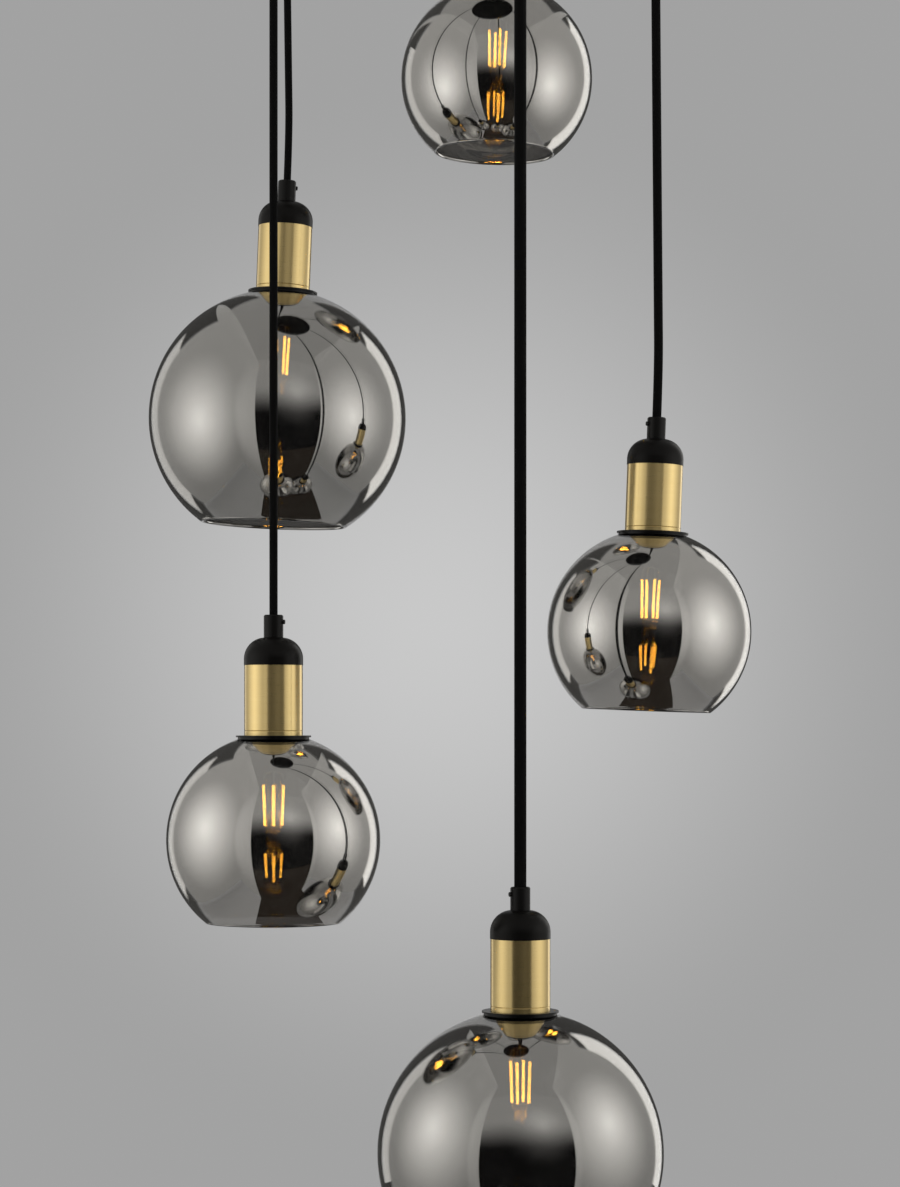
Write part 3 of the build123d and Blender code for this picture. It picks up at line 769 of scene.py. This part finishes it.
def screen(
    name, corners, low_glow, high_glow, levels=(0, 1), tint=(1.0, 0.985, 0.95), spot=None,
    gain=0.0, reach=1.6, lights=False,
):
    """A screen for reflections, its glow changing with height and round a spot."""
    mesh = bpy.data.meshes.new(name)
    mesh.from_pydata(corners, [], [range(len(corners))])
    panel = bpy.data.objects.new(name, mesh)
    bpy.context.scene.collection.objects.link(panel)
    cloth = bpy.data.materials.new(name)
    cloth.use_nodes = True
    tree = cloth.node_tree
    tree.nodes.clear()
    place = add(tree, "ShaderNodeTexCoord").outputs["Object"]
    height = add(tree, "ShaderNodeSeparateXYZ", Vector=place).outputs[2]
    glow = add(
        tree, "ShaderNodeMapRange", interpolation_type="SMOOTHSTEP", Value=height,
        From_Min=levels[0], From_Max=levels[1], To_Min=low_glow, To_Max=high_glow,
    ).outputs[0]
    if spot:
        off = add(tree, "ShaderNodeVectorMath", operation="DISTANCE", in_0=place, in_1=spot)
        near = add(
            tree, "ShaderNodeMapRange", Value=off.outputs["Value"], From_Min=0.0, From_Max=reach,
            To_Min=1.0, To_Max=0.0,
        )
        hot = maths(tree, "POWER", near.outputs[0], 2.0)
        glow = maths(tree, "MULTIPLY_ADD", hot, gain, glow)
    light = add(tree, "ShaderNodeEmission", Color=(*tint, 1), Strength=glow)
    path = add(tree, "ShaderNodeLightPath")
    direct = maths(tree, "LESS_THAN", path.outputs["Glossy Depth"], 0.5)
    hidden = maths(tree, "MULTIPLY", path.outputs["Is Transmission Ray"], direct)
    clear = add(tree, "ShaderNodeBsdfTransparent")
    mixed = add(
        tree, "ShaderNodeMixShader", in_0=hidden, in_1=light.outputs[0], in_2=clear.outputs[0]
    )
    add(tree, "ShaderNodeOutputMaterial", Surface=mixed.outputs[0])
    panel.data.materials.append(cloth)
    panel.visible_camera = False
    panel.visible_diffuse = lights
    panel.visible_shadow = lights


box_low = -2.55
strip_low = -2.05
left_tent = dict(
    front=(-0.41, -0.80), near=(-1.273, -1.4), far=(-1.74, 1.6), end=(-0.97, 2.5),
    roof_far=(-0.50, 1.6), front_top=-0.04, top=1.9, spot=(-1.37, -0.34, -0.93),
    strip_top=0.4, strip_glow=0.8,
)
right_tent = dict(
    front=(0.72, -0.95), near=(1.305, -1.3), far=(1.84, 1.6), end=(0.97, 2.5),
    roof_far=(0.62, 1.6), front_top=0.20, top=1.35, spot=(1.46, -0.45, -0.87),
    strip_top=0.9, strip_glow=1.25,
)
for side, tent in (("left", left_tent), ("right", right_tent)):
    front, near, far, top = tent["front"], tent["near"], tent["far"], tent["top"]
    front_top, roof_far = tent["front_top"], tent["roof_far"]
    flap = [(*front, box_low), (*near, box_low), (*near, top), (*front, front_top)]
    roof = [(*front, front_top), (*near, top), (*far, top), (*roof_far, front_top)]
    softbox = dict(low_glow=0.31, high_glow=0.46, levels=(-2.4, -0.6), spot=tent["spot"], gain=1.1)
    screen(f"{side}_softbox", upright_corners(near, far, box_low, top), lights=True, **softbox)
    screen(f"{side}_flap", flap, **softbox)
    screen(f"{side}_roof", roof, **softbox)
    strip = upright_corners(far, tent["end"], strip_low, tent["strip_top"])
    screen(f"{side}_strip", strip, tent["strip_glow"], tent["strip_glow"], lights=True)

wall_left, wall_right = (-2.2, -2.5), (2.6, -2.5)
runner_level, card_top, upper_level = -2.58, 2.0, 1.95
card_glow, upper_glow, runner_glow = 0.07, 0.36, 0.025
screen(
    "wall_behind_camera", upright_corners(wall_left, wall_right, runner_level, card_top),
    0.004, 0.40, levels=(-0.95, 0.35), spot=(0.75, -2.5, 0.0), gain=0.33,
)
left_card = upright_corners((-1.8, 1.7), (-0.55, 2.75), box_low, card_top)
right_card = upright_corners((1.9, 1.7), (0.55, 2.75), box_low, card_top)
screen("left_card", left_card, card_glow, card_glow)
screen("right_card", right_card, card_glow, card_glow)
upper_card = [(x, y, upper_level) for x, y in ((-2.5, -2.45), (2.5, -2.45), (2.5, 3.0), (-2.5, 3.0))]
screen("upper_card", upper_card, upper_glow, upper_glow)
runner = [
    wall_left, wall_right, right_tent["front"], (0.62, 2.4), (-0.48, 2.4), left_tent["front"]
]
screen(
    "dark_runner", [(x, y, runner_level) for x, y in runner], runner_glow, runner_glow,
    tint=(1.0, 0.8, 0.62),
)

# The world is the backdrop: a pale wall with a painted pool of light, the halo, round a spot a
# little above straight ahead of the camera. The halo shows only to the camera, in reflections and
# through glass; light that falls on things comes from an even fill grey.
wall_grey, halo_grey, fill_grey = 0.362, 0.58, 0.75
halo_radius = 0.185
world = bpy.data.worlds.new("pale_wall")
bpy.context.scene.world = world
world.use_nodes = True
tree = world.node_tree
background = tree.nodes["Background"]
direction = add(tree, "ShaderNodeTexCoord").outputs["Generated"]
bright = Vector((-0.0045, 0, 0)) + away + Vector((0, 0, 0.035))
off = add(
    tree, "ShaderNodeVectorMath", operation="DISTANCE", in_0=direction, in_1=bright.normalized()
)
halo = add(
    tree, "ShaderNodeMapRange", interpolation_type="SMOOTHSTEP", Value=off.outputs["Value"],
    From_Min=0.0, From_Max=halo_radius, To_Min=1.0, To_Max=0.0,
)
path = add(tree, "ShaderNodeLightPath")
seen = maths(tree, "ADD", path.outputs["Is Camera Ray"], path.outputs["Is Glossy Ray"])
shown = maths(tree, "ADD", seen, path.outputs["Is Transmission Ray"], clamp=True)
sky = add(tree, "ShaderNodeMix", data_type="RGBA", in_0=shown, in_6=(*[fill_grey] * 3, 1))
two_tones(tree, halo.outputs[0], [wall_grey] * 3, [halo_grey] * 3, sky.inputs[7])
tree.links.new(sky.outputs[2], background.inputs[0])
background.inputs[1].default_value = 1.0

bpy.context.scene.view_settings.view_transform = "Standard"
